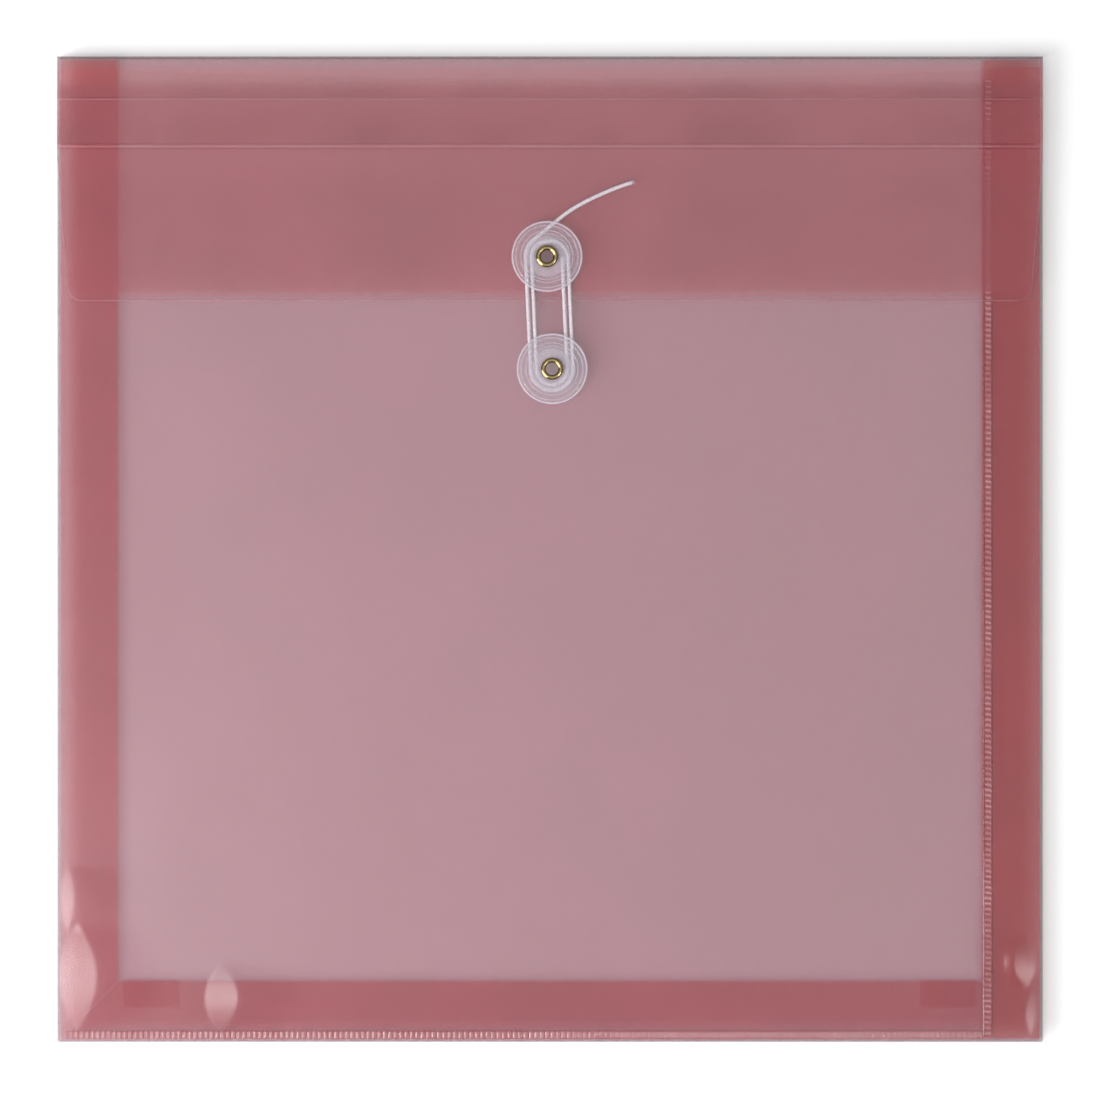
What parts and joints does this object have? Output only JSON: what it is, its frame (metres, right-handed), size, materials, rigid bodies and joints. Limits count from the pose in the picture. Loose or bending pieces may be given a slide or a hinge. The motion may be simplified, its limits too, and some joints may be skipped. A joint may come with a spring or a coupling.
{
  "type": "document case",
  "caption": "Flat expanding document case of frosted translucent plastic sheet, with folded gussets, a creased flap and a string wound between buttons.",
  "frame": {"origin": "under the middle of the back panel, on the surface that the case lies on", "axes": "+X to the case's right, +Y towards its folded top edge, +Z out of its front"},
  "size_m": [0.33, 0.33, 0.0115],
  "materials": {
    "film": "frosted translucent polypropylene sheet",
    "welded_film": "welded seam, paler and ribbed",
    "clear_disc": "clear moulded plastic",
    "eyelet": "plated and bright",
    "string": "white braided cotton"
  },
  "bodies": {
    "back": {"back_panel": "film", "left_rear_web": "film", "right_rear_web": "film", "bottom_rear_web": "film", "left_corner_tuck": "film", "right_corner_tuck": "film"},
    "front": {"front_panel": "film", "turned_strip": "film", "right_weld": "welded_film", "bottom_weld": "welded_film", "left_front_web": "film", "right_front_web": "film", "bottom_front_web": "film", "lower_button_disc": "clear_disc", "lower_button_eyelet": "eyelet"},
    "top_wall": {"top_wall": "film"},
    "spine_upper": {"upper_spine_strip": "film"},
    "spine_lower": {"lower_spine_strip": "film"},
    "flap": {"closing_flap": "film", "upper_button_disc": "clear_disc", "upper_button_eyelet": "eyelet", "closing_string": "string"}
  },
  "joints": [
    {"name": "gusset_expand", "type": "hinge", "parent": "back", "child": "front", "pos_m": [0, 0.1506, 0.0079], "axis": [-1, 0, 0], "range_deg": [0, 5], "deforming": ["left_rear_web", "left_front_web", "right_rear_web", "right_front_web", "bottom_rear_web", "bottom_front_web"]},
    {"name": "top_wall_tilt", "type": "hinge", "parent": "back", "child": "top_wall", "pos_m": [0, 0.16475, 0.00025], "axis": [-1, 0, 0], "range_deg": [0, 85]},
    {"name": "flap_open", "type": "hinge", "parent": "top_wall", "child": "spine_upper", "pos_m": [0, 0.16475, 0.00765], "axis": [-1, 0, 0], "range_deg": [0, 85], "deforming": ["closing_string"]},
    {"name": "crease_one_bend", "type": "hinge", "parent": "spine_upper", "child": "spine_lower", "pos_m": [0, 0.1506, 0.0079], "axis": [-1, 0, 0], "range_deg": [0, 5]},
    {"name": "crease_two_bend", "type": "hinge", "parent": "spine_lower", "child": "flap", "pos_m": [0, 0.1349, 0.0079], "axis": [-1, 0, 0], "range_deg": [0, 120], "deforming": ["closing_string"]}
  ],
  "couplings": [
    {"joint": "top_wall_tilt", "follows": "flap_open", "ratio": 1},
    {"joint": "crease_one_bend", "follows": "gusset_expand", "ratio": 1}
  ]
}
